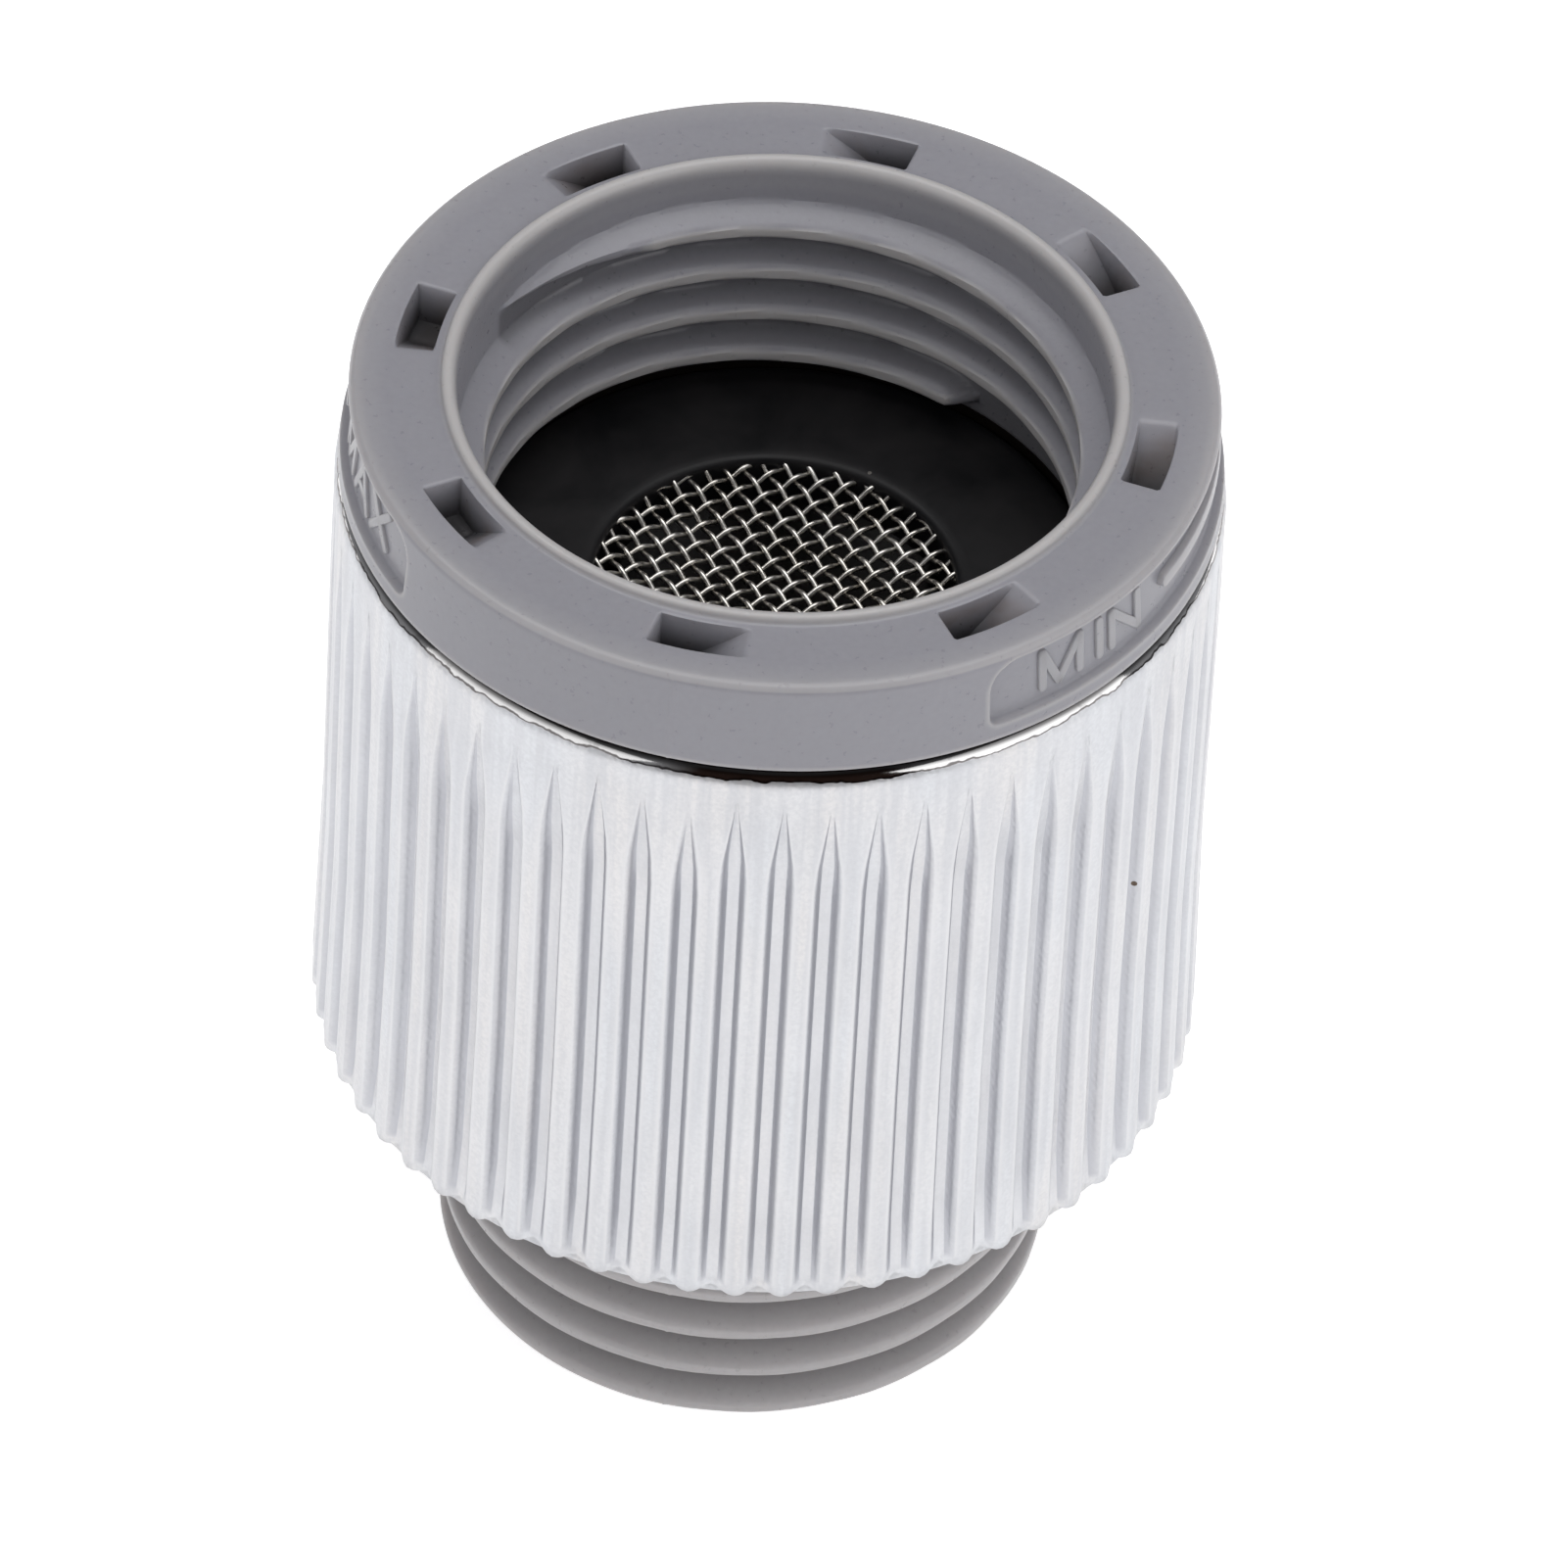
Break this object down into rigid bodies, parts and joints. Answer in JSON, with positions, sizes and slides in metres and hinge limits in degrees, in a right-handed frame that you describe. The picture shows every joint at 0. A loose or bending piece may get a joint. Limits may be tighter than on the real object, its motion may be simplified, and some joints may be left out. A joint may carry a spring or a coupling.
{
  "type": "inline shower flow regulator",
  "caption": "Inline water flow regulator with a threaded outlet spigot, a ribbed grip sleeve that turns, and a collar with a threaded inlet socket, washer and strainer.",
  "frame": {"origin": "centre of the outlet spigot's end face, on the axis of the water way", "axes": "+Z along the water way from the outlet up to the inlet, -Y towards the viewer of the picture, +X to the right in it"},
  "size_m": [0.0298, 0.0298, 0.0383],
  "materials": {
    "grey_plastic": "satin, moulded",
    "satin_chrome": "satin plating with a polished upper edge",
    "black_rubber": "matte",
    "steel": "drawn wire",
    "white_plastic": "smooth low-friction plastic"
  },
  "bodies": {
    "valve_body": {"outlet_core": "grey_plastic", "inlet_collar": "grey_plastic", "sealing_washer": "black_rubber", "filter_screen": "steel", "lower_seal": "black_rubber", "upper_seal": "black_rubber"},
    "sleeve": {"grip_sleeve": "satin_chrome", "port_ring": "white_plastic"}
  },
  "joints": [
    {"name": "sleeve_turn", "type": "hinge", "parent": "valve_body", "child": "sleeve", "pos_m": [0, 0, 0.022], "axis": [0, 0, 1], "range_deg": [-80, 0]}
  ]
}
